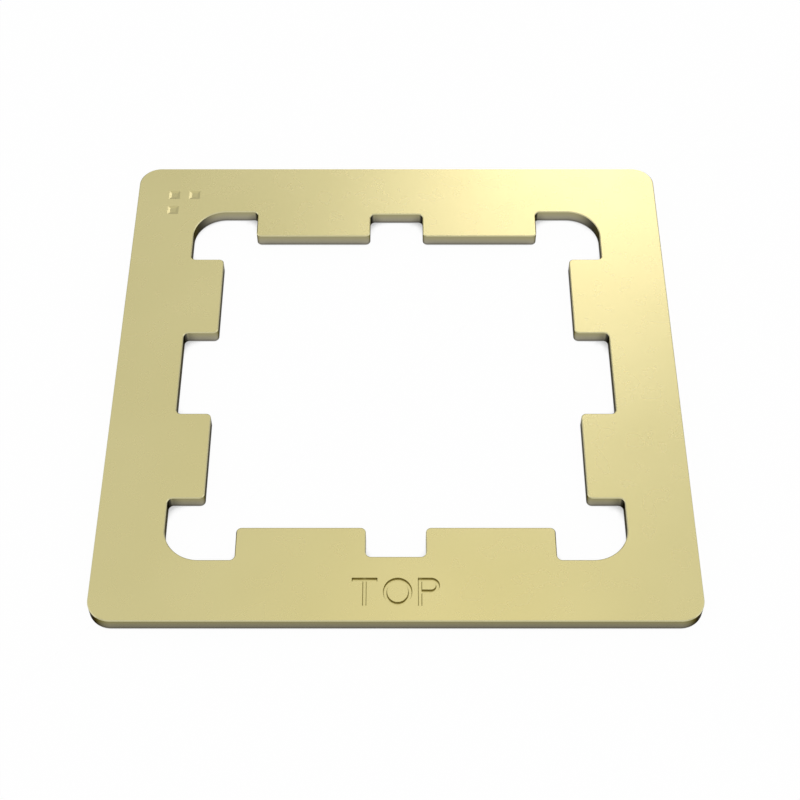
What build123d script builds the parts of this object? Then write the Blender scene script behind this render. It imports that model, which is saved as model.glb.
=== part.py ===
from build123d import *

import os

# Window: the tabs face each other across a square, with pockets and slots cut out beyond them
tab_gap = 32.4              # clear distance between facing tabs
pocket_depth = 3.1          # corner pockets and side slots, out from the line of the tabs
pocket_radius = 3.0         # deep corner of each corner pocket
tab_setback = 2.9           # outer end of a tab, in from the crossing of the two tab lines
side_slot_width = 9.0       # between the two tabs of the left band, and of the right band
end_slot_width = 5.0        # between the two tabs of the front band, and of the back band
end_slot_depth = 2.8        # end slots stop a little short of the pockets
tab_corner_radius = 0.45    # every other corner of the window

# Plate
band_width = 5.7            # solid metal from a corner pocket to the outer edge
plate_thickness = 1.3
outer_corner_radius = 2.0
edge_break = 0.08           # chamfer along the upper and lower rims

# Index mark: three shallow square dimples that point into the back left corner
index_inset = 3.5           # centre of the corner dimple, in from both outer edges
index_pitch = 1.95          # centre to centre
index_side = 1.05           # side of a dimple at the upper face
index_slope = 0.25          # width of its sloping walls, seen from above
index_depth = 0.055

# Word engraved in the front band, upright for a reader at the front
letter_height = 2.6
letter_stroke = 0.35
letter_depth = 0.2
letter_slope = 0.07         # width of the sloping walls of a stroke, seen from above
letter_gap = 0.45
letter_margin = 1.4         # feet of the letters, in from the front edge
t_width = 2.1
o_width = 2.4
p_width = 1.8
p_bowl_height = 1.45

# Sizes that follow from the ones above
tab_line = tab_gap / 2
pocket_line = tab_line + pocket_depth
pocket_side = pocket_depth + tab_setback
pocket_centre = pocket_line - pocket_side / 2
plate_side = 2 * (pocket_line + band_width)
plate_edge = plate_side / 2


def window_outline():
    """The opening seen from above, with its corners rounded."""
    opening = Rectangle(tab_gap, tab_gap)
    for x in (-pocket_centre, pocket_centre):
        for y in (-pocket_centre, pocket_centre):
            opening += Pos(x, y) * Rectangle(pocket_side, pocket_side)
    opening += Rectangle(2 * pocket_line, side_slot_width)
    opening += Rectangle(end_slot_width, tab_gap + 2 * end_slot_depth)

    def is_deep(corner):
        return min(abs(corner.X), abs(corner.Y)) > tab_line

    shallow_corners = opening.vertices().filter_by(is_deep, reverse=True)
    opening = fillet(shallow_corners, tab_corner_radius)
    deep_corners = opening.vertices().filter_by(is_deep)
    return fillet(deep_corners, pocket_radius)


def plate():
    """The flat plate with its window, and both rims of every wall chamfered."""
    outline = RectangleRounded(plate_side, plate_side, outer_corner_radius)
    blank = extrude(outline - window_outline(), plate_thickness)
    faces = blank.faces().sort_by(Axis.Z)
    rims = faces[0].edges() + faces[-1].edges()
    return chamfer(rims, edge_break)


def index_dimple():
    """One square dimple below the origin, with walls that slope in to a flat floor."""
    floor_side = index_side - 2 * index_slope
    mouth = Rectangle(index_side, index_side)
    floor = Pos(0, 0, -index_depth) * Rectangle(floor_side, floor_side)
    return loft([floor.face(), mouth.face()], ruled=True)


def index_mark():
    """The three dimples, in place in the upper face."""
    corner = Pos(index_inset - plate_edge, plate_edge - index_inset, plate_thickness)
    steps = ((0, 0), (index_pitch, 0), (0, -index_pitch))
    return [corner * Pos(x, y) * index_dimple() for x, y in steps]


def letter_t(inset):
    """A T that stands on the origin, from its left edge, with its outline drawn in by the inset."""
    low_left = (Align.MIN, Align.MIN)
    stroke = letter_stroke - 2 * inset
    bar = Rectangle(t_width - 2 * inset, stroke, align=low_left)
    stem = Rectangle(stroke, letter_height - 2 * inset, align=low_left)
    bar_place = Pos(inset, letter_height - letter_stroke + inset)
    stem_place = Pos((t_width - stroke) / 2, inset)
    return bar_place * bar + stem_place * stem


def letter_o(inset):
    """An O that stands on the origin, from its left edge, with its outline drawn in by the inset."""
    ring = letter_stroke - 2 * inset
    width, height = o_width / 2 - inset, letter_height / 2 - inset
    outer = Ellipse(width, height)
    inner = Ellipse(width - ring, height - ring)
    return Pos(o_width / 2, letter_height / 2) * (outer - inner)


def bowl(width, height):
    """A flat sided bowl that ends in a half round, from the middle of its flat side."""
    round_radius = height / 2
    straight = width - round_radius
    flat = Rectangle(straight, height, align=(Align.MIN, Align.CENTER))
    return flat + Pos(straight) * Circle(round_radius)


def letter_p(inset):
    """A P that stands on the origin, from its left edge, with its outline drawn in by the inset."""
    stroke = letter_stroke - 2 * inset
    width, height = p_width - 2 * inset, p_bowl_height - 2 * inset
    outer = bowl(width, height)
    inner = Pos(stroke) * bowl(width - 2 * stroke, height - 2 * stroke)
    stem = Rectangle(stroke, letter_height - 2 * inset, align=(Align.MIN, Align.MIN))
    bowl_place = Pos(inset, letter_height - p_bowl_height / 2)
    return bowl_place * (outer - inner) + Pos(inset, inset) * stem


def groove(letter):
    """The strokes of one letter as a solid below the origin, with walls that slope in to a flat floor."""
    mouth = letter(0).face()
    floor = (Pos(0, 0, -letter_depth) * letter(letter_slope)).face()
    strokes = Solid.make_loft([floor.outer_wire(), mouth.outer_wire()], ruled=True)
    for low, high in zip(floor.inner_wires(), mouth.inner_wires()):
        strokes -= Solid.make_loft([low, high], ruled=True)
    return strokes


def engraved_word():
    """The strokes of the word as solids, sunk in the upper face of the front band."""
    letters = ((letter_t, t_width), (letter_o, o_width), (letter_p, p_width))
    word_width = sum(width for _, width in letters) + letter_gap * (len(letters) - 1)
    left = -word_width / 2
    grooves = []
    for letter, width in letters:
        place = Pos(left, letter_margin - plate_edge, plate_thickness)
        grooves.append(place * groove(letter))
        left += width + letter_gap
    return grooves


retention_frame = plate() - index_mark() - engraved_word()

os.makedirs("parts", exist_ok=True)
export_step(retention_frame, "parts/retention_frame.step")
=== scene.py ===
"""A gold anodised frame plate for a processor socket, on the white floor of a small studio."""

import logging
import math
from collections.abc import Callable, Iterator
from contextlib import contextmanager
from dataclasses import dataclass, field, replace
from enum import Enum

import bmesh
import bpy
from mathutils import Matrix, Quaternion, Vector


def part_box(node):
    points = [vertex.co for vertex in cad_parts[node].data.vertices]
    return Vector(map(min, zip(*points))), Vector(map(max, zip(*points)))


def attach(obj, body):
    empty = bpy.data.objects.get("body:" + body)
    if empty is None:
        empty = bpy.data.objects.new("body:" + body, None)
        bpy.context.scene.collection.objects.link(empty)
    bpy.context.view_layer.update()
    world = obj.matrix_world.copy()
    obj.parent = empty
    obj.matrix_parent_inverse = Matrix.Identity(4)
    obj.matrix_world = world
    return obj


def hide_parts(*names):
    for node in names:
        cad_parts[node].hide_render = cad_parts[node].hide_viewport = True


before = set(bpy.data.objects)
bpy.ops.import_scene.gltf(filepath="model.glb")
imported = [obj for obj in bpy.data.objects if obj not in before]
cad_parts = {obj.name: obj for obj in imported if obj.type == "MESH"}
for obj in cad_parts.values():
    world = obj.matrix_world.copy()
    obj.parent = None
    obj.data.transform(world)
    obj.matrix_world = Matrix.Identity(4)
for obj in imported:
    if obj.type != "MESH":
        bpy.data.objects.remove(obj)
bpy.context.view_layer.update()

LOG = logging.getLogger("retention_frame")
MM = 0.001
NODE = "retention_frame"
PAINTED_CORNER_SHADE = "turn"
X_AXIS = Vector((1, 0, 0))
Y_AXIS = Vector((0, 1, 0))
FLAT_ANGLE = math.radians(1)
SMOOTH_ANGLE = math.radians(8)
SHARP_ANGLE = math.radians(60)

Colour = tuple[float, float, float]
Span = tuple[float, float]
Response = tuple[Span, Span]
Socket = bpy.types.NodeSocket
Value = float | Colour | Socket

WHITE: Colour = (1.0, 1.0, 1.0)
BLACK: Colour = (0.0, 0.0, 0.0)


class Element(Enum):
    """The kinds of mesh element that a tool can act on."""

    VERT = "verts"
    EDGE = "edges"
    FACE = "faces"


class Surface(Enum):
    """The surfaces of the plate that get their own materials, in the order of their slots; all but the face
    carry painted shade or a painted highlight.
    """

    FACE = 0
    WALL = 1
    RIM = 2
    MARK = 3
    GROOVE = 4


class SocketKind(Enum):
    """The kinds of socket that a shader group has."""

    NUMBER = "NodeSocketFloat"
    PLACE = "NodeSocketVector"


def deselect_all() -> None:
    """Clears the selection, so that the next tool acts on the new piece alone."""
    bpy.ops.object.select_all(action="DESELECT")


def choose(*objects: bpy.types.Object) -> bpy.types.Object:
    """Selects some objects and nothing else.

    Args:
        objects: What to select; the first one becomes the active object.

    Returns:
        The active object.
    """
    deselect_all()
    for item in objects:
        item.select_set(True)
    bpy.context.view_layer.objects.active = objects[0]
    return objects[0]


@contextmanager
def editing(piece: bpy.types.Object, kind: Element) -> Iterator[None]:
    """Opens a piece in edit mode with everything selected, and leaves edit mode at the end.

    Args:
        piece: The mesh object to edit.
        kind: The select mode to edit it in.
    """
    choose(piece)
    bpy.ops.object.mode_set(mode="EDIT")
    bpy.ops.mesh.select_mode(type=kind.name)
    bpy.ops.mesh.select_all(action="SELECT")
    yield
    bpy.ops.object.mode_set(mode="OBJECT")


def middle(item: bmesh.types.BMVert | bmesh.types.BMEdge | bmesh.types.BMFace) -> Vector:
    """Finds the middle of a vertex, edge or face.

    Args:
        item: The mesh element.

    Returns:
        The mean of its corners.
    """
    corners = [item] if isinstance(item, bmesh.types.BMVert) else list(item.verts)
    return sum((corner.co for corner in corners), Vector()) / len(corners)


def pick(piece: bpy.types.Object, kind: Element, test: Callable[[Vector], bool]) -> None:
    """Selects the elements of a piece in edit mode whose middle passes a test.

    Args:
        piece: The mesh object that is open in edit mode.
        kind: Which elements to look at.
        test: Says of a middle point whether its element is wanted.
    """
    bpy.ops.mesh.select_mode(type=kind.name)
    bpy.ops.mesh.select_all(action="DESELECT")
    shape = bmesh.from_edit_mesh(piece.data)
    for item in getattr(shape, kind.value):
        item.select_set(test(middle(item)))
    shape.select_flush_mode()
    bmesh.update_edit_mesh(piece.data)


def lay_rectangle(low: Vector, width: float, length: float) -> bpy.types.Object:
    """Lays a flat rectangle to draw an outline from.

    Args:
        low: Its lower left corner.
        width: Its size along X.
        length: Its size along Y.

    Returns:
        The rectangle, with its place in its mesh.
    """
    deselect_all()
    centre = low + Vector((width / 2, length / 2, 0))
    bpy.ops.mesh.primitive_plane_add(size=1, calc_uvs=False, location=centre)
    sheet = bpy.context.object
    sheet.scale = (width, length, 1)
    bpy.ops.object.transform_apply()
    return sheet


def cut_along(axis: Vector, *places: float) -> None:
    """Cuts the open mesh with planes.

    Args:
        axis: The direction that the planes face.
        places: Where each plane stands along that direction.
    """
    for place in places:
        bpy.ops.mesh.select_all(action="SELECT")
        bpy.ops.mesh.bisect(plane_co=axis * place, plane_no=axis)


def round_corners(radius: float, steps: int) -> None:
    """Rounds the selected right-angled corners of a flat outline.

    Args:
        radius: The radius of the arcs.
        steps: How many straight pieces make up one arc.
    """
    circular = 0.5
    bpy.ops.mesh.bevel(
        affect="VERTICES", offset_type="ABSOLUTE", offset=radius, segments=steps, profile=circular
    )


def raise_solid(height: float) -> None:
    """Gives the open flat mesh a thickness, upwards.

    Args:
        height: How thick it becomes.
    """
    bpy.ops.mesh.select_all(action="SELECT")
    bpy.ops.mesh.extrude_region_move(TRANSFORM_OT_translate={"value": (0.0, 0.0, height)})
    bpy.ops.mesh.select_all(action="SELECT")
    bpy.ops.mesh.normals_make_consistent(inside=False)


def cut_away(piece: bpy.types.Object, cutter: bpy.types.Object) -> None:
    """Cuts one solid out of another and removes the cutter.

    Args:
        piece: The solid that is cut.
        cutter: The solid that is taken away.
    """
    choose(piece)
    boolean = piece.modifiers.new("cut", "BOOLEAN")
    boolean.operation = "DIFFERENCE"
    boolean.solver = "EXACT"
    boolean.object = cutter
    bpy.ops.object.modifier_apply(modifier=boolean.name)
    bpy.data.objects.remove(cutter)


def opaque(colour: Colour) -> tuple[float, float, float, float]:
    """Gives a colour in the form that a colour socket takes, with full opacity."""
    return (*colour, 1.0)


@dataclass
class NodeSheet:
    """A node tree that is filled node by node."""

    tree: bpy.types.NodeTree

    @classmethod
    def of(cls, owner: bpy.types.Material | bpy.types.World) -> "NodeSheet":
        """Gives a new material or world an empty node tree.

        Args:
            owner: The material or world.

        Returns:
            The sheet of its tree.
        """
        owner.use_nodes = True
        owner.node_tree.nodes.clear()
        return cls(owner.node_tree)

    def put(
        self, kind: str, values: dict[str | int, Value] | None = None, **settings: object
    ) -> bpy.types.Node:
        """Adds a node.

        Args:
            kind: The node's type.
            values: What its inputs hold: plain values, or sockets that they are linked to.
            settings: Its other properties.

        Returns:
            The new node.
        """
        node = self.tree.nodes.new(kind)
        for name, setting in settings.items():
            setattr(node, name, setting)
        for name, value in (values or {}).items():
            if isinstance(value, Socket):
                self.tree.links.new(value, node.inputs[name])
            else:
                node.inputs[name].default_value = value
        return node

    def math(self, operation: str, first: Value, second: Value) -> Socket:
        """Adds a sum of two values.

        Args:
            operation: What to do with them.
            first: The first value or socket.
            second: The second value or socket.

        Returns:
            The result.
        """
        return self.put("ShaderNodeMath", {0: first, 1: second}, operation=operation).outputs["Value"]

    def remap(self, value: Value, source: Span, target: tuple[Value, Value]) -> Socket:
        """Moves a value from one range to another.

        Args:
            value: The value.
            source: The ends of its range.
            target: The ends of the new range.

        Returns:
            The new value, kept inside its range.
        """
        ends = {"From Min": source[0], "From Max": source[1], "To Min": target[0], "To Max": target[1]}
        return self.put("ShaderNodeMapRange", {"Value": value, **ends}).outputs["Result"]

    def shade(self, mask: Socket, stops: dict[float, Colour]) -> Socket:
        """Runs from one colour to another.

        Args:
            mask: How far to go, from 0 to 1.
            stops: The colours along the way, from the first at 0 to the last at 1.

        Returns:
            The colour.
        """
        ramp = self.put("ShaderNodeValToRGB", {"Fac": mask})
        for place in list(stops)[1:-1]:
            ramp.color_ramp.elements.new(place)
        for stop, colour in zip(ramp.color_ramp.elements, stops.values()):
            stop.color = opaque(colour)
        return ramp.outputs["Color"]

    def blend(self, mask: Socket, first: Socket, second: Colour) -> Socket:
        """Mixes two colours.

        Args:
            mask: The share of the second colour.
            first: The first colour.
            second: The second colour.

        Returns:
            The mixture.
        """
        # The node has sockets for each type of value, and these are the places of those for colours.
        share, low, high, result = 0, 6, 7, 2
        values = {share: mask, low: first, high: opaque(second)}
        return self.put("ShaderNodeMix", values, data_type="RGBA").outputs[result]

    def noise(self, place: Socket, scale: Value, detail: float) -> Socket:
        """Adds a cloudy pattern.

        Args:
            place: The place on the piece.
            scale: How many clouds there are in a metre.
            detail: How many times they break up into smaller ones.

        Returns:
            The pattern, from 0 to 1.
        """
        values = {"Vector": place, "Scale": scale, "Detail": detail}
        return self.put("ShaderNodeTexNoise", values).outputs["Fac"]

    def openness(self, reach: float, samples: int) -> Socket:
        """Measures how much of the space over a surface is open.

        Args:
            reach: How far away a thing still counts, in metres.
            samples: How many ways to look.

        Returns:
            The open share.
        """
        values = {"Distance": reach}
        return self.put("ShaderNodeAmbientOcclusion", values, samples=samples).outputs["AO"]

    def mix_shaders(self, mask: Socket, first: bpy.types.Node, second: bpy.types.Node) -> bpy.types.Node:
        """Mixes two shaders.

        Args:
            mask: The share of the second shader.
            first: The first shader.
            second: The second shader.

        Returns:
            The node of the mixture.
        """
        return self.put("ShaderNodeMixShader", {0: mask, 1: first.outputs[0], 2: second.outputs[0]})


def open_group(
    name: str, inputs: dict[str, SocketKind], outputs: tuple[str, ...]
) -> tuple[NodeSheet, bpy.types.Node]:
    """Starts a shader node group.

    Args:
        name: The group's name.
        inputs: The names of its inputs and the kinds of their sockets.
        outputs: The names of its outputs, which are all values.

    Returns:
        The group's sheet and the node that holds its inputs.
    """
    tree = bpy.data.node_groups.new(name, "ShaderNodeTree")
    for label, kind in inputs.items():
        tree.interface.new_socket(label, in_out="INPUT", socket_type=kind.value)
    for label in outputs:
        tree.interface.new_socket(label, in_out="OUTPUT", socket_type=SocketKind.NUMBER.value)
    sheet = NodeSheet(tree)
    return sheet, sheet.put("NodeGroupInput")


def satin_grain() -> bpy.types.NodeTree:
    """Gives the group for a blasted and dyed surface, and builds it the first time.

    Returns:
        The group. Grain is a fine height, Drift a slow mask from 0 to 1, and Roughness a value.
    """
    name = "satin_grain"
    if name in bpy.data.node_groups:
        return bpy.data.node_groups[name]
    number = SocketKind.NUMBER
    inputs = {"Place": SocketKind.PLACE, "Grain Scale": number, "Drift Scale": number}
    inputs |= {"Roughness Low": number, "Roughness High": number}
    sheet, node = open_group(name, inputs, ("Grain", "Drift", "Roughness"))
    given = node.outputs
    grain_detail, drift_detail, gloss_detail = 3.0, 2.0, 4.0
    gloss_patches_per_drift = 7.0
    spread = (0.3, 0.7)
    grain = sheet.noise(given["Place"], given["Grain Scale"], grain_detail)
    drift = sheet.noise(given["Place"], given["Drift Scale"], drift_detail)
    gloss_scale = sheet.math("MULTIPLY", given["Drift Scale"], gloss_patches_per_drift)
    gloss = sheet.noise(given["Place"], gloss_scale, gloss_detail)
    results = {
        "Grain": grain,
        "Drift": sheet.remap(drift, spread, (0.0, 1.0)),
        "Roughness": sheet.remap(gloss, spread, (given["Roughness Low"], given["Roughness High"])),
    }
    sheet.put("NodeGroupOutput", results)
    return sheet.tree


def cut_marks() -> bpy.types.NodeTree:
    """Gives the group for the marks of a cutter that ran round an edge, and builds it the first time.

    Returns:
        The group. Lines is the height of the marks and Height a mask from the lower to the upper edge.
    """
    name = "cut_marks"
    if name in bpy.data.node_groups:
        return bpy.data.node_groups[name]
    number = SocketKind.NUMBER
    inputs = {"Place": SocketKind.PLACE, "Line Scale": number, "Edge Height": number}
    sheet, node = open_group(name, inputs, ("Lines", "Height"))
    given = node.outputs
    line_detail = 3.0
    stretch = 40.0
    parts = sheet.put("ShaderNodeSeparateXYZ", {"Vector": given["Place"]}).outputs
    tall = sheet.math("MULTIPLY", parts["Z"], stretch)
    joined = sheet.put("ShaderNodeCombineXYZ", {"X": parts["X"], "Y": parts["Y"], "Z": tall})
    scale = sheet.math("DIVIDE", given["Line Scale"], stretch)
    lines = sheet.noise(joined.outputs["Vector"], scale, line_detail)
    height = sheet.math("DIVIDE", parts["Z"], given["Edge Height"])
    sheet.put("NodeGroupOutput", {"Lines": lines, "Height": height})
    return sheet.tree


@dataclass(frozen=True, kw_only=True)
class SatinFinish:
    """Blasted and anodised metal; the sizes are in metres."""

    name: str
    deep: Colour
    pale: Colour
    edge_tint: Colour = WHITE
    roughness: Span
    grain_size: float = 0.00009
    grain_depth: float
    drift_size: float = 0.004

    def material(self) -> bpy.types.Material:
        """Builds the finish.

        Returns:
            The material.
        """
        material = bpy.data.materials.new(self.name)
        sheet = NodeSheet.of(material)
        place = sheet.put("ShaderNodeTexCoord").outputs["Object"]
        values = {"Place": place, "Grain Scale": 1 / self.grain_size, "Drift Scale": 1 / self.drift_size}
        values |= {"Roughness Low": self.roughness[0], "Roughness High": self.roughness[1]}
        grain = sheet.put("ShaderNodeGroup", values, node_tree=satin_grain())
        colour, height = self._colour_and_height(sheet, place, grain)
        bump = sheet.put("ShaderNodeBump", {"Height": height, "Distance": self.grain_depth})
        looks = {
            "Base Color": colour,
            "Roughness": grain.outputs["Roughness"],
            "Normal": bump.outputs["Normal"],
            "Metallic": 1.0,
            "Specular Tint": opaque(self.edge_tint),
        }
        shader = sheet.put("ShaderNodeBsdfPrincipled", looks)
        sheet.put("ShaderNodeOutputMaterial", {"Surface": shader.outputs["BSDF"]})
        return material

    def _colour_and_height(
        self, sheet: NodeSheet, place: Socket, grain: bpy.types.Node
    ) -> tuple[Socket, Socket]:
        """Works out what varies over the surface.

        Args:
            sheet: The material's nodes.
            place: The place on the piece.
            grain: The grain group.

        Returns:
            The colour and the height of the surface.
        """
        return sheet.shade(grain.outputs["Drift"], {0: self.deep, 1: self.pale}), grain.outputs["Grain"]


@dataclass(frozen=True, kw_only=True)
class ShadedCutFinish(SatinFinish):
    """The same metal on a cut wall: marked along its length, with painted shade that keeps it darker than the
    face, darkest at its foot and round its corners.
    """

    foot: Colour
    foot_shade_share: float
    corner_shade_colour: Colour
    edge_height: float
    line_size: float

    def _colour_and_height(
        self, sheet: NodeSheet, place: Socket, grain: bpy.types.Node
    ) -> tuple[Socket, Socket]:
        """Works out what varies over the wall, including its painted shade.

        Args:
            sheet: The material's nodes.
            place: The place on the piece.
            grain: The grain group.

        Returns:
            The colour and the height of the wall's surface.
        """
        values = {"Place": place, "Line Scale": 1 / self.line_size, "Edge Height": self.edge_height}
        marks = sheet.put("ShaderNodeGroup", values, node_tree=cut_marks())
        height = sheet.math("ADD", marks.outputs["Lines"], grain.outputs["Grain"])
        # Painted shade by height: from a dark foot to a greyer colour lower down and a more golden one at the
        # top.
        stops = {0: self.foot, self.foot_shade_share: self.deep, 1: self.pale}
        straight = sheet.shade(marks.outputs["Height"], stops)
        # Painted shade: the walls of rounded corners go near black, standing in for the dark reflection
        # there.
        turn = sheet.put("ShaderNodeAttribute", attribute_name=PAINTED_CORNER_SHADE).outputs["Fac"]
        return sheet.blend(turn, straight, self.corner_shade_colour), height


SATIN_GOLD = SatinFinish(
    name="satin_gold",
    deep=(0.650, 0.590, 0.290),
    pale=(0.680, 0.618, 0.312),
    roughness=(0.267, 0.277),
    grain_depth=0.00000006,
    drift_size=0.012,
)
# Painted highlight: the edge breaks are a lighter gold than the face, for the light they catch.
RIM_HIGHLIGHT_GOLD = SatinFinish(
    name="rim_gold",
    deep=(0.700, 0.648, 0.380),
    pale=(0.740, 0.688, 0.410),
    edge_tint=BLACK,
    roughness=(0.20, 0.24),
    grain_depth=0.0000002,
)
# Painted shade: the dimples are a darker gold than the face.
MARK_SHADE_GOLD = SatinFinish(
    name="mark_gold",
    deep=(0.545, 0.495, 0.245),
    pale=(0.570, 0.518, 0.262),
    roughness=(0.27, 0.30),
    grain_depth=0.0000001,
)
# Painted shade: the walls of the cut letters are a darker gold than the face.
GROOVE_SHADE_GOLD = replace(
    MARK_SHADE_GOLD,
    name="groove_gold",
    deep=(0.455, 0.412, 0.205),
    pale=(0.475, 0.430, 0.217),
)


@dataclass
class IndexMark:
    """Three shallow square dimples in the back left corner of the upper face, in millimetres."""

    inset: float = 3.5
    pitch: float = 1.95
    side: float = 1.05
    slope: float = 0.25
    depth: float = 0.055
    overshoot: float = 0.1

    def build(self, plate_edge: float, top: float) -> list[bpy.types.Object]:
        """Models the dimples as solids that can be cut out of the plate.

        Args:
            plate_edge: The distance of the plate's outer edges from its middle.
            top: The height of the upper face.

        Returns:
            One cutter for each dimple.
        """
        corner = Vector((self.inset - plate_edge, plate_edge - self.inset, top))
        steps = (Vector(), X_AXIS * self.pitch, Y_AXIS * -self.pitch)
        return [self._dimple(corner + step) for step in steps]

    def reaches(self, sunk: float) -> bool:
        """Says whether a nearly level face is part of a dimple.

        Args:
            sunk: How far the face's middle lies below the upper face.

        Returns:
            True for the floor and the sloping walls.
        """
        shallowest, deepest = self.depth / 4, self.depth * 2
        return shallowest < sunk < deepest

    def _dimple(self, place: Vector) -> bpy.types.Object:
        """Models one dimple: a block that narrows to its flat floor.

        Args:
            place: The middle of the dimple in the upper face.

        Returns:
            The cutter.
        """
        floor_side = self.side - 2 * self.slope
        rise = self.depth + self.overshoot
        low = place - Vector((floor_side / 2, floor_side / 2, self.depth))
        cutter = lay_rectangle(low, floor_side, floor_side)
        with editing(cutter, Element.FACE):
            bpy.ops.mesh.extrude_region_move(TRANSFORM_OT_translate={"value": (0, 0, rise)})
            grow = 1 + 2 * self.slope * rise / self.depth / floor_side
            bpy.ops.transform.resize(value=(grow, grow, 1), center_override=place)
            bpy.ops.mesh.select_all(action="SELECT")
            bpy.ops.mesh.normals_make_consistent(inside=False)
        return cutter


@dataclass
class EngravedWord:
    """The word cut into the front band, in millimetres."""

    height: float = 2.6
    stroke: float = 0.35
    depth: float = 0.2
    slope: float = 0.07
    gap: float = 0.45
    margin: float = 1.4
    t_width: float = 2.1
    o_width: float = 2.4
    p_width: float = 1.8
    p_bowl_height: float = 1.45
    overshoot: float = 0.2
    ring_steps: int = 96
    bowl_steps: int = 24

    def build(self, plate_edge: float, top: float) -> list[bpy.types.Object]:
        """Models the letters as solids that can be cut out of the plate.

        Args:
            plate_edge: The distance of the plate's front edge from its middle.
            top: The height of the upper face.

        Returns:
            One cutter for each letter.
        """
        width = self.t_width + self.o_width + self.p_width + 2 * self.gap
        t_foot = Vector((-width / 2, self.margin - plate_edge, top))
        o_foot = t_foot + X_AXIS * (self.t_width + self.gap)
        p_foot = o_foot + X_AXIS * (self.o_width + self.gap)
        letters = [self._letter_t(t_foot), self._letter_o(o_foot), self._letter_p(p_foot)]
        for letter in letters:
            self._sink(letter, top)
        return letters

    def _sink(self, letter: bpy.types.Object, top: float) -> None:
        """Gives a flat letter its height above the upper face, and below it walls that slope in to a floor.

        Args:
            letter: The flat letter in the upper face.
            top: The height of the upper face.
        """
        under_walls = top + self.overshoot / 4
        with editing(letter, Element.FACE):
            raise_solid(self.overshoot)
            pick(letter, Element.FACE, lambda place: place.z < under_walls)
            bpy.ops.mesh.inset(thickness=self.slope, depth=self.depth)

    def _draw_stem(self, letter: bpy.types.Object, foot: Vector, start: float) -> None:
        """Draws an upright stroke out of the lower edge of a letter in edit mode.

        Args:
            letter: The letter.
            foot: The lower left corner of the stroke.
            start: How high above its foot it starts.
        """
        root = foot + Vector((self.stroke / 2, start, 0))
        near = self.stroke / 10
        pick(letter, Element.EDGE, lambda place: (place - root).length < near)
        bpy.ops.mesh.extrude_edges_move(TRANSFORM_OT_translate={"value": (0, -start, 0)})

    def _letter_t(self, foot: Vector) -> bpy.types.Object:
        """Draws the T flat: a bar, and a stem from its middle.

        Args:
            foot: The lower left corner of the letter.

        Returns:
            The flat letter.
        """
        start = self.height - self.stroke
        stem = foot + X_AXIS * (self.t_width - self.stroke) / 2
        letter = lay_rectangle(foot + Y_AXIS * start, self.t_width, self.stroke)
        with editing(letter, Element.FACE):
            cut_along(X_AXIS, stem.x, stem.x + self.stroke)
            self._draw_stem(letter, stem, start)
        return letter

    def _letter_o(self, foot: Vector) -> bpy.types.Object:
        """Draws the O flat: a ring between two ellipses.

        Args:
            foot: The lower left corner of the letter.

        Returns:
            The flat letter.
        """
        outer = Vector((self.o_width / 2, self.height / 2, 0))
        centre = foot + outer
        deselect_all()
        bpy.ops.mesh.primitive_circle_add(vertices=self.ring_steps, radius=1, calc_uvs=False, location=centre)
        letter = bpy.context.object
        letter.scale = (outer.x, outer.y, 1)
        bpy.ops.object.transform_apply()
        with editing(letter, Element.EDGE):
            bpy.ops.mesh.extrude_edges_move()
            inner = (1 - self.stroke / outer.x, 1 - self.stroke / outer.y, 1)
            bpy.ops.transform.resize(value=inner, center_override=centre)
        return letter

    def _letter_p(self, foot: Vector) -> bpy.types.Object:
        """Draws the P flat: a bowl with a round right end, and a stem from its left side.

        Args:
            foot: The lower left corner of the letter.

        Returns:
            The flat letter.
        """
        closest = self.stroke / 100
        start = self.height - self.p_bowl_height
        centre = foot.x + self.p_width / 2
        letter = lay_rectangle(foot + Y_AXIS * start, self.p_width, self.p_bowl_height)
        with editing(letter, Element.FACE):
            pick(letter, Element.VERT, lambda place: place.x > centre)
            round_corners(self.p_bowl_height / 2, self.bowl_steps)
            bpy.ops.mesh.select_all(action="SELECT")
            bpy.ops.mesh.remove_doubles(threshold=closest)
            bpy.ops.mesh.select_mode(type=Element.FACE.name)
            bpy.ops.mesh.select_all(action="SELECT")
            bpy.ops.mesh.inset(thickness=self.stroke)
            bpy.ops.mesh.delete(type="FACE")
            cut_along(X_AXIS, foot.x + self.stroke)
            self._draw_stem(letter, foot, start)
        return letter


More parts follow.
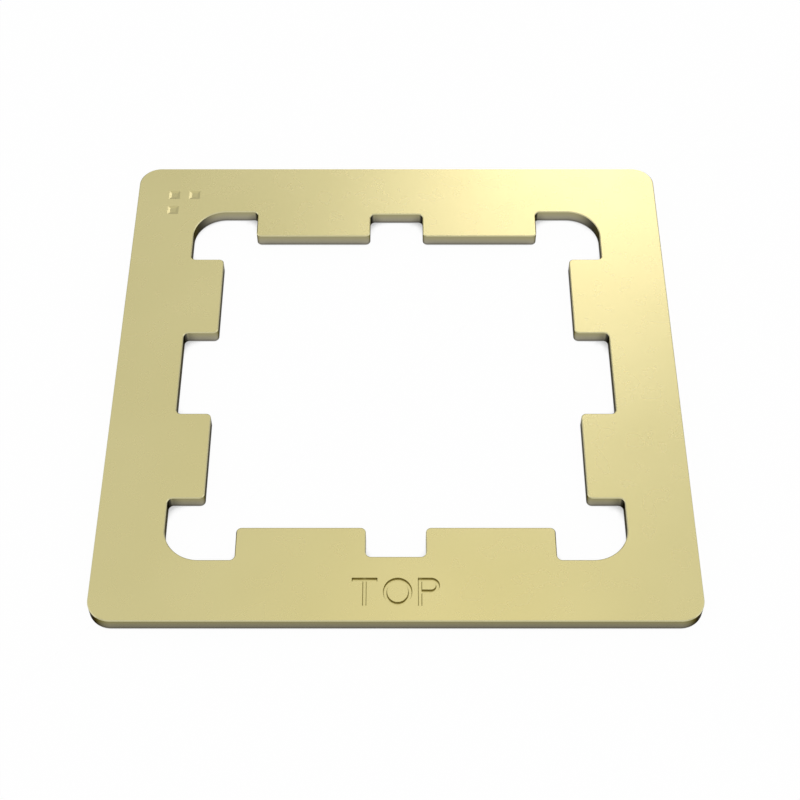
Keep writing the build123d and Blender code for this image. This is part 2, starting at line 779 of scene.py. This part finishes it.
@dataclass
class Plate:
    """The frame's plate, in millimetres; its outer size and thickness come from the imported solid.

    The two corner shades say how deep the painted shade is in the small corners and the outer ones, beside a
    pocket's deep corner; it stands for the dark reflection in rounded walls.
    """

    side: float
    thickness: float
    band_width: float = 5.7
    outer_corner_radius: float = 2.0
    edge_break: float = 0.08
    pocket_depth: float = 3.1
    pocket_radius: float = 3.0
    tab_setback: float = 2.9
    side_slot_width: float = 9.0
    end_slot_width: float = 5.0
    end_slot_depth: float = 2.8
    tab_corner_radius: float = 0.45
    arc_steps: int = 32
    small_arc_steps: int = 16
    small_corner_shade: float = 2.5
    outer_corner_shade: float = 0.55
    index_mark: IndexMark = field(default_factory=IndexMark)
    word: EngravedWord = field(default_factory=EngravedWord)

    @property
    def pocket_line(self) -> float:
        """The distance of the corner pockets' walls from the middle."""
        return self.side / 2 - self.band_width

    @property
    def tab_line(self) -> float:
        """The distance of the tabs' inner ends from the middle."""
        return self.pocket_line - self.pocket_depth

    def in_window(self, place: Vector) -> bool:
        """Says whether a point is in the opening, before its corners are rounded.

        Args:
            place: The point, seen from above.

        Returns:
            True inside the middle square, a corner pocket or a slot.
        """
        x, y = abs(place.x), abs(place.y)
        near, far = min(x, y), max(x, y)
        tab_end = self.tab_line - self.tab_setback
        in_square = far < self.tab_line
        in_pocket = near > tab_end and far < self.pocket_line
        in_side_slot = y < self.side_slot_width / 2 and x < self.pocket_line
        in_end_slot = x < self.end_slot_width / 2 and y < self.tab_line + self.end_slot_depth
        return in_square or in_pocket or in_side_slot or in_end_slot

    def is_deep(self, place: Vector) -> bool:
        """Says whether a corner of the opening is the deep one of a corner pocket."""
        return min(abs(place.x), abs(place.y)) > self.tab_line

    def _window_outline(self) -> bpy.types.Object:
        """Draws the outline of the opening as a loop of edges.

        Returns:
            The outline, with its corners rounded.
        """
        tab_end = self.tab_line - self.tab_setback
        columns = (self.tab_line, tab_end, self.end_slot_width / 2)
        rows = (self.tab_line + self.end_slot_depth, self.tab_line, tab_end, self.side_slot_width / 2)
        reach = self.pocket_line
        window = lay_rectangle(Vector((-reach, -reach, 0)), 2 * reach, 2 * reach)
        with editing(window, Element.FACE):
            for sign in (-1, 1):
                cut_along(X_AXIS, *(sign * place for place in columns))
                cut_along(Y_AXIS, *(sign * place for place in rows))
            pick(window, Element.FACE, lambda place: not self.in_window(place))
            bpy.ops.mesh.delete(type="FACE")
            bpy.ops.mesh.select_all(action="SELECT")
            bpy.ops.mesh.dissolve_limited(angle_limit=FLAT_ANGLE)
            pick(window, Element.VERT, lambda place: not self.is_deep(place))
            round_corners(self.tab_corner_radius, self.small_arc_steps)
            pick(window, Element.VERT, self.is_deep)
            round_corners(self.pocket_radius, self.arc_steps)
            bpy.ops.mesh.select_all(action="SELECT")
            bpy.ops.mesh.delete(type="ONLY_FACE")
        return window

    def _outer_outline(self) -> bpy.types.Object:
        """Draws the outer outline as a loop of edges.

        Returns:
            The outline, with its corners rounded.
        """
        outline = lay_rectangle(Vector((-self.side / 2, -self.side / 2, 0)), self.side, self.side)
        with editing(outline, Element.VERT):
            round_corners(self.outer_corner_radius, self.arc_steps)
            bpy.ops.mesh.select_all(action="SELECT")
            bpy.ops.mesh.delete(type="ONLY_FACE")
        return outline

    def build(self) -> bpy.types.Object:
        """Models the plate at a thousand times its size and brings it down to metres.

        Returns:
            The finished plate, at the origin.
        """
        plate = choose(self._outer_outline(), self._window_outline())
        bpy.ops.object.join()
        plate.name = plate.data.name = "frame_plate"
        with editing(plate, Element.EDGE):
            bpy.ops.mesh.fill(use_beauty=True)
            bpy.ops.mesh.dissolve_limited(angle_limit=FLAT_ANGLE)
            raise_solid(self.thickness)
            bpy.ops.mesh.select_all(action="DESELECT")
            bpy.ops.mesh.edges_select_sharp(sharpness=SHARP_ANGLE)
            bpy.ops.mesh.bevel(affect="EDGES", offset=self.edge_break, segments=1)
        edge = self.side / 2
        for cutter in self.index_mark.build(edge, self.thickness) + self.word.build(edge, self.thickness):
            cut_away(plate, cutter)
        choose(plate)
        plate.scale = (MM, MM, MM)
        bpy.ops.object.transform_apply()
        bpy.ops.object.shade_smooth_by_angle(angle=SMOOTH_ANGLE)
        return plate

    def wall_finish(self) -> ShadedCutFinish:
        """Describes the finish of the cut walls, whose colours are painted shade.

        Returns:
            The finish, for walls as high as the plate is thick.
        """
        return ShadedCutFinish(
            name="cut_gold",
            # Painted shade: these colours are all darker than the face's gold, darkest at the foot and in the
            # rounded corners, for the dark reflections of the walls.
            foot=(0.185, 0.177, 0.152),
            foot_shade_share=0.3,
            corner_shade_colour=(0.100, 0.095, 0.077),
            deep=(0.340, 0.317, 0.240),
            pale=(0.340, 0.308, 0.152),
            edge_tint=(0.13, 0.12, 0.09),
            roughness=(0.20, 0.26),
            grain_depth=0.0000003,
            edge_height=self.thickness * MM,
            line_size=0.00012,
        )

    def dress(self, plate: bpy.types.Object) -> None:
        """Gives each surface of the plate its finish, with its painted shade or highlight, and notes the
        painted corner shade.

        Args:
            plate: The finished plate.
        """
        finishes = {
            Surface.FACE: SATIN_GOLD,
            Surface.WALL: self.wall_finish(),
            Surface.RIM: RIM_HIGHLIGHT_GOLD,
            Surface.MARK: MARK_SHADE_GOLD,
            Surface.GROOVE: GROOVE_SHADE_GOLD,
        }
        for surface in Surface:
            plate.data.materials.append(finishes[surface].material())
        for face in plate.data.polygons:
            face.material_index = self._surface_of(face).value
        self._note_corner_shade(plate)

    def _note_corner_shade(self, plate: bpy.types.Object) -> None:
        """Notes on the mesh how much painted shade its walls get in their round corners, from 0 to 1, for the
        dark reflection there.

        Walls that face along X or Y have no such painted shade, and neither have the tabs' own corners.

        Args:
            plate: The plate, with its surfaces told apart.
        """
        nearest = (self.tab_line + self.pocket_depth / 2) * MM
        ways = [Vector((0, 0, 0)) for _ in plate.data.vertices]
        for face in plate.data.polygons:
            reach = max(abs(face.center.x), abs(face.center.y))
            if face.material_index == Surface.WALL.value and reach > nearest:
                for corner in face.vertices:
                    ways[corner] += face.normal
        corner_shade_notes = plate.data.attributes.new(PAINTED_CORNER_SHADE, "FLOAT", "POINT")
        # The painted shade follows the way that a wall faces, and is strongest where that is nearer to X than
        # to Y.
        # On a circle of radius 1, x**4 * y**2 is never more than this.
        full_corner_shade = 4 / 27
        for note, corner, way in zip(corner_shade_notes.data, plate.data.vertices, ways):
            level = way.xy.normalized()
            turn = level.x**4 * level.y**2 / full_corner_shade
            note.value = min(1, turn * self._corner_shade_depth(corner.co / MM))

    def _corner_shade_depth(self, place: Vector) -> float:
        """Says how deep the painted shade on the wall of a rounded corner is, beside that of a pocket's deep
        corner.

        Args:
            place: A point on the wall.

        Returns:
            The share.
        """
        if not self.is_deep(place):
            return self.small_corner_shade
        in_pocket = max(abs(place.x), abs(place.y)) < self.pocket_line + self.band_width / 2
        return 1.0 if in_pocket else self.outer_corner_shade

    def _surface_of(self, face: bpy.types.MeshPolygon) -> Surface:
        """Says which surface a face belongs to.

        Args:
            face: The face, in metres.

        Returns:
            The surface.
        """
        level, upright = 0.9, 0.5
        rise = face.normal.z
        sunk = self.thickness - face.center.z / MM
        if abs(rise) < level:
            if rise > upright:
                return Surface.RIM
            return Surface.GROOVE if sunk < self.word.depth else Surface.WALL
        return Surface.MARK if self.index_mark.reaches(sunk) else Surface.FACE


@dataclass
class Floor:
    """The white floor under the plate, which fades to the light of the horizon far away.

    Lengths are in metres. Each response goes from a range of openness to a range of light.
    """

    colour: Colour = (0.95, 0.95, 0.95)
    far_colour: Colour = (0.63, 0.63, 0.63)
    fade: Span = (0.09, 0.6)
    glow: float = 0.97
    contact_reach: float = 0.0012
    contact_samples: int = 8
    corner_reach: float = 0.0022
    corner_samples: int = 16
    corner_shadow: Response = ((0.35, 0.47), (0.53, 1.0))
    mirrored_shadow: Response = ((0.3, 0.8), (0.15, 1.0))
    light_beneath: Response = ((0.0, 0.05), (0.9, 0.0))
    size: float = 6.0
    gap: float = 0.00002

    def build(self) -> bpy.types.Object:
        """Lays the floor a hair below the plate.

        Returns:
            The floor.
        """
        half = self.size / 2
        floor = lay_rectangle(Vector((-half, -half, -self.gap)), self.size, self.size)
        floor.name = floor.data.name = "studio_floor"
        floor.data.materials.append(self._material())
        return floor

    def _material(self) -> bpy.types.Material:
        """Makes the floor white to the eye and in the metal, with a soft shadow, and clear from below.

        Returns:
            The material.
        """
        material = bpy.data.materials.new("studio_white")
        sheet = NodeSheet.of(material)
        ray = sheet.put("ShaderNodeLightPath").outputs
        seen = sheet.math("MAXIMUM", ray["Is Camera Ray"], ray["Is Glossy Ray"])
        seen = sheet.math("MAXIMUM", seen, ray["Is Transmission Ray"])
        place = sheet.put("ShaderNodeTexCoord").outputs["Object"]
        reach = sheet.put("ShaderNodeVectorMath", {0: place}, operation="LENGTH").outputs["Value"]
        far = sheet.remap(reach, self.fade, (0.0, 1.0))
        matt_colour = sheet.shade(far, {0: self.colour, 1: self.far_colour})
        matt = sheet.put("ShaderNodeBsdfDiffuse", {"Color": matt_colour})
        contact = sheet.openness(self.contact_reach, self.contact_samples)
        corner = sheet.openness(self.corner_reach, self.corner_samples)
        by_eye = sheet.remap(corner, *self.corner_shadow)
        beside = sheet.remap(contact, *self.mirrored_shadow)
        beneath = sheet.remap(contact, *self.light_beneath)
        in_metal = sheet.math("MAXIMUM", beside, beneath)
        strength = sheet.remap(ray["Is Camera Ray"], (0.0, 1.0), (in_metal, by_eye))
        light = {"Color": sheet.shade(far, {0: WHITE, 1: self.far_colour}), "Strength": strength}
        glow = sheet.put("ShaderNodeEmission", light)
        upper = sheet.mix_shaders(sheet.math("MULTIPLY", seen, self.glow), matt, glow)
        lower = sheet.put("ShaderNodeBsdfTransparent")
        below = sheet.put("ShaderNodeNewGeometry").outputs["Backfacing"]
        both = sheet.mix_shaders(below, upper, lower)
        sheet.put("ShaderNodeOutputMaterial", {"Surface": both.outputs[0]})
        return material


@dataclass
class Sky:
    """Even light from all round, which grows towards the top."""

    horizon: Colour = (0.63, 0.63, 0.63)
    zenith: Colour = (0.96, 0.96, 0.96)

    def build(self) -> bpy.types.World:
        """Makes the world.

        Returns:
            The world, already in the scene.
        """
        world = bpy.data.worlds.new("studio_sky")
        sheet = NodeSheet.of(world)
        way = sheet.put("ShaderNodeTexCoord").outputs["Generated"]
        up = sheet.put("ShaderNodeSeparateXYZ", {"Vector": way}).outputs["Z"]
        light = sheet.shade(sheet.math("MULTIPLY", up, up), {0: self.horizon, 1: self.zenith})
        background = sheet.put("ShaderNodeBackground", {"Color": light})
        sheet.put("ShaderNodeOutputWorld", {"Surface": background.outputs["Background"]})
        bpy.context.scene.world = world
        return world


@dataclass
class Softbox:
    """A rectangular lamp, placed by the angles at which the plate sees it, in degrees.

    Left and right are counted from the back, low and high from the floor.
    """

    name: str
    left: float
    right: float
    low: float
    high: float
    radiance: Colour
    distance: float = 2.0

    def build(self) -> bpy.types.Object:
        """Hangs the lamp on its side of the plate and turns it to the plate.

        Returns:
            The lamp.
        """
        bearing = math.radians((self.left + self.right) / 2)
        rise = math.radians((self.low + self.high) / 2)
        level = math.cos(rise)
        way = Vector((math.sin(bearing) * level, math.cos(bearing) * level, math.sin(rise)))
        deselect_all()
        bpy.ops.object.light_add(type="AREA", location=way * self.distance)
        lamp = bpy.context.object
        lamp.name = lamp.data.name = self.name
        lamp.rotation_euler = way.to_track_quat("Z", "Y").to_euler()
        lamp.data.shape = "RECTANGLE"
        lamp.data.size = 2 * self.distance * level * math.tan(math.radians(self.right - self.left) / 2)
        lamp.data.size_y = 2 * self.distance * math.tan(math.radians(self.high - self.low) / 2)
        peak = max(self.radiance)
        lamp.data.color = [part / peak for part in self.radiance]
        # A lamp of one square metre has a radiance of 1 when its power is this many watts.
        watts = 4
        lamp.data.energy = watts * lamp.data.size * lamp.data.size_y * peak
        lamp.visible_camera = False
        return lamp


@dataclass
class Camera:
    """The camera at the photograph's place, in metres; roll is in degrees, lens and sensor in millimetres."""

    place: Vector = field(default_factory=lambda: Vector((0.000396, -0.08826, 0.118495)))
    aim: Vector = field(default_factory=lambda: Vector((0.000337, -0.002116, 0.0)))
    roll: float = -0.032
    lens: float = 74.02
    sensor: float = 36.0
    nearest: float = 0.005

    def build(self) -> bpy.types.Object:
        """Sets up the camera.

        Returns:
            The camera, already in use by the scene.
        """
        deselect_all()
        bpy.ops.object.camera_add(location=self.place)
        camera = bpy.context.object
        camera.name = camera.data.name = "photo_camera"
        level = (self.aim - self.place).to_track_quat("-Z", "Y")
        camera.rotation_euler = (level @ Quaternion((0, 0, 1), math.radians(self.roll))).to_euler()
        camera.data.lens = self.lens
        camera.data.sensor_width = self.sensor
        camera.data.clip_start = self.nearest
        bpy.context.scene.camera = camera
        return camera


@dataclass
class Studio:
    """The floor, the light and the camera."""

    floor: Floor = field(default_factory=Floor)
    sky: Sky = field(default_factory=Sky)
    camera: Camera = field(default_factory=Camera)
    lamps: tuple[Softbox, ...] = (
        Softbox("strip_box", left=3.5, right=16.0, low=12.0, high=49.5, radiance=(1.72, 1.62, 1.80)),
        Softbox("top_box", left=-10.0, right=20.0, low=60.0, high=85.0, radiance=(0.34, 0.26, 0.02)),
        Softbox("left_box", left=-120.0, right=-60.0, low=2.0, high=34.0, radiance=(0.27, 0.27, 0.27)),
        Softbox("right_box", left=60.0, right=120.0, low=2.0, high=34.0, radiance=(0.27, 0.27, 0.27)),
        Softbox("front_box", left=150.0, right=210.0, low=2.0, high=34.0, radiance=(0.09, 0.09, 0.09)),
    )

    def build(self) -> None:
        """Sets up the studio round the plate."""
        floor = self.floor.build()
        LOG.info("%s: laid", floor.name)
        LOG.info("%s: lit", self.sky.build().name)
        for lamp in self.lamps:
            LOG.info("%s: hung", lamp.build().name)
        LOG.info("%s: set up", self.camera.build().name)
        bpy.context.scene.view_settings.view_transform = "Standard"


def main() -> None:
    """Builds the plate and the studio, and reports each piece."""
    logging.basicConfig(level=logging.INFO, format="%(name)s: %(message)s")
    low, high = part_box(NODE)
    frame_plate = Plate(side=(high.x - low.x) / MM, thickness=(high.z - low.z) / MM)
    plate = frame_plate.build()
    frame_plate.dress(plate)
    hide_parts(NODE)
    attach(plate, "root")
    LOG.info("%s: %d faces", plate.name, len(plate.data.polygons))
    Studio().build()


if __name__ == "__main__":
    main()
